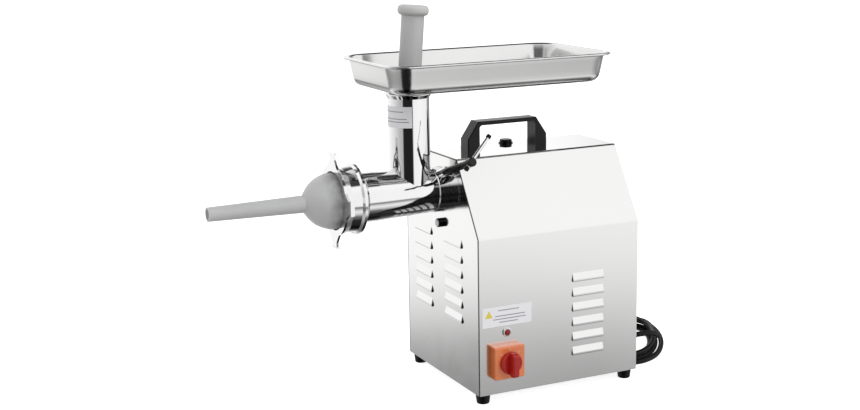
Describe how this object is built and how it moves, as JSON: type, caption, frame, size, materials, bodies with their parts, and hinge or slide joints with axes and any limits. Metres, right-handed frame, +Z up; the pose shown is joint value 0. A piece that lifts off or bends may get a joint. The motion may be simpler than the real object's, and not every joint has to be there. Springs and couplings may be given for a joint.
{
  "type": "electric meat grinder",
  "caption": "Bench meat grinder: folded steel case with louvres, geared motor, polished head with ring nut and stuffing funnel, feed tray, pusher and mains lead.",
  "frame": {"origin": "on the resting plane, midway between the four rubber feet", "axes": "+Z up; the head and its discharge point along -Y; the switch and lamp are on the +X side"},
  "size_m": [0.2415, 0.6764, 0.4986],
  "materials": {
    "case_sheet": "softly brushed stainless sheet, polished on top",
    "panel_sheet": "bright polished stainless sheet",
    "plain_sheet": "dull rolled sheet",
    "screw_steel": "zinc plated",
    "bar_chrome": "bright chrome plate",
    "black_screw": "oil blacked steel",
    "black_rubber": "matt black rubber",
    "black_plastic": "fine grained black moulding",
    "light_cap": "white moulding",
    "orange_plastic": "orange moulding",
    "red_plastic": "glossy red moulding",
    "red_lens": "clear red lens",
    "label_film": "blank white film",
    "cast_case": "cast, with machined faces",
    "tool_steel": "machined steel",
    "lamination": "stacked sheet",
    "winding_copper": "enamelled wire",
    "motor_paint": "dark enamel",
    "capacitor_shell": "white shell",
    "spring_steel": "bright spring steel",
    "pale_nylon": "natural nylon",
    "polished_steel": "mirror polished stainless",
    "bronze": "machined bronze",
    "milky_plastic": "translucent white moulding",
    "tray_steel": "satin stainless sheet with a bright rim",
    "pin_brass": "nickel plated"
  },
  "bodies": {
    "housing": {"wrap_cover": "case_sheet", "front_panel": "panel_sheet", "back_panel": "panel_sheet", "base_plate": "plain_sheet", "panel_screws": "screw_steel", "rubber_feet": "black_rubber", "foot_screws": "screw_steel", "carry_handle": "black_plastic", "handle_screws": "screw_steel", "breather_plug": "black_plastic", "switch_box": "orange_plastic", "switch_body": "black_plastic", "lamp_bezel": "bar_chrome", "lamp_lens": "red_lens", "button_bezel": "black_plastic", "side_label": "label_film", "gearbox_body": "cast_case", "gearbox_cover": "cast_case", "gearbox_screws": "screw_steel", "socket_collar": "polished_steel", "collar_screws": "screw_steel", "gearbox_bearings": "tool_steel", "motor_shell": "motor_paint", "motor_end_bell": "cast_case", "motor_bearings": "tool_steel", "motor_stator": "lamination", "stator_windings": "winding_copper", "motor_cradle": "plain_sheet", "cradle_screws": "screw_steel", "run_capacitor": "capacitor_shell", "capacitor_clip": "spring_steel", "terminal_block": "pale_nylon", "cable_gland": "black_rubber", "mains_cord": "black_rubber", "cord_coil": "black_rubber", "mains_plug": "black_rubber", "plug_pins": "pin_brass"},
    "knob": {"switch_knob": "red_plastic"},
    "reset": {"reset_button": "light_cap"},
    "motor": {"motor_rotor": "lamination", "motor_shaft": "tool_steel", "cooling_fan": "black_plastic"},
    "lay": {"layshaft": "tool_steel", "layshaft_gear": "tool_steel"},
    "output": {"output_shaft": "tool_steel", "output_gear": "tool_steel"},
    "head": {"grinding_head": "polished_steel", "head_bush": "bronze", "grinding_plate": "tool_steel", "tube_label": "label_film"},
    "feed_screw": {"auger": "tool_steel", "knife": "tool_steel"},
    "funnel": {"stuffing_funnel": "milky_plastic"},
    "ring": {"ring_nut": "polished_steel"},
    "tray": {"feed_tray": "tray_steel"},
    "stomper": {"pusher": "milky_plastic"},
    "lock": {"locking_screw": "black_screw"},
    "bar": {"tommy_bar": "bar_chrome", "bar_caps": "black_plastic"}
  },
  "joints": [
    {"name": "knob_turn", "type": "hinge", "parent": "housing", "child": "knob", "pos_m": [0.117, -0.0792, 0.0559], "axis": [1, 0, 0], "range_deg": [-45, 45]},
    {"name": "reset_press", "type": "slide", "parent": "housing", "child": "reset", "axis": [0, 1, 0], "range_m": [0, 0.003], "stiffness_N_per_m": 400, "springref_m": -0.001},
    {"name": "motor_spin", "type": "hinge", "parent": "housing", "child": "motor", "pos_m": [0, 0.0335, 0.15945], "axis": [0, 1, 0], "continuous": true},
    {"name": "layshaft_spin", "type": "hinge", "parent": "housing", "child": "lay", "pos_m": [0, -0.0365, 0.20745], "axis": [0, 1, 0], "continuous": true},
    {"name": "output_spin", "type": "hinge", "parent": "housing", "child": "output", "pos_m": [0, -0.0565, 0.2612], "axis": [0, 1, 0], "continuous": true},
    {"name": "head_slide", "type": "slide", "parent": "housing", "child": "head", "axis": [0, -1, 0], "range_m": [0, 0.09]},
    {"name": "auger_spin", "type": "hinge", "parent": "head", "child": "feed_screw", "pos_m": [0, -0.1765, 0.2612], "axis": [0, 1, 0], "continuous": true},
    {"name": "ring_turn", "type": "hinge", "parent": "funnel", "child": "ring", "pos_m": [0, -0.2495, 0.2612], "axis": [0, -1, 0], "range_deg": [0, 720]},
    {"name": "funnel_slide", "type": "slide", "parent": "head", "child": "funnel", "axis": [0, -1, 0], "range_m": [0, 0.0081]},
    {"name": "tray_lift", "type": "slide", "parent": "head", "child": "tray", "axis": [0, 0, 1], "range_m": [0, 0.03]},
    {"name": "pusher_lift", "type": "slide", "parent": "head", "child": "stomper", "axis": [0, 0.0802, 0.9968], "range_m": [0, 0.16]},
    {"name": "lock_turn", "type": "hinge", "parent": "housing", "child": "lock", "pos_m": [-0.00525, -0.124, 0.27737], "axis": [0.9511, 0, 0.309], "range_deg": [0, 720]},
    {"name": "bar_slide", "type": "slide", "parent": "lock", "child": "bar", "axis": [-0.2185, 0.7071, 0.6725], "range_m": [-0.033, 0.001]}
  ],
  "couplings": [
    {"joint": "layshaft_spin", "follows": "motor_spin", "ratio": -0.33333},
    {"joint": "output_spin", "follows": "motor_spin", "ratio": 0.14444},
    {"joint": "auger_spin", "follows": "motor_spin", "ratio": 0.14444},
    {"joint": "funnel_slide", "follows": "ring_turn", "m_per_rad": 0.00063662}
  ]
}
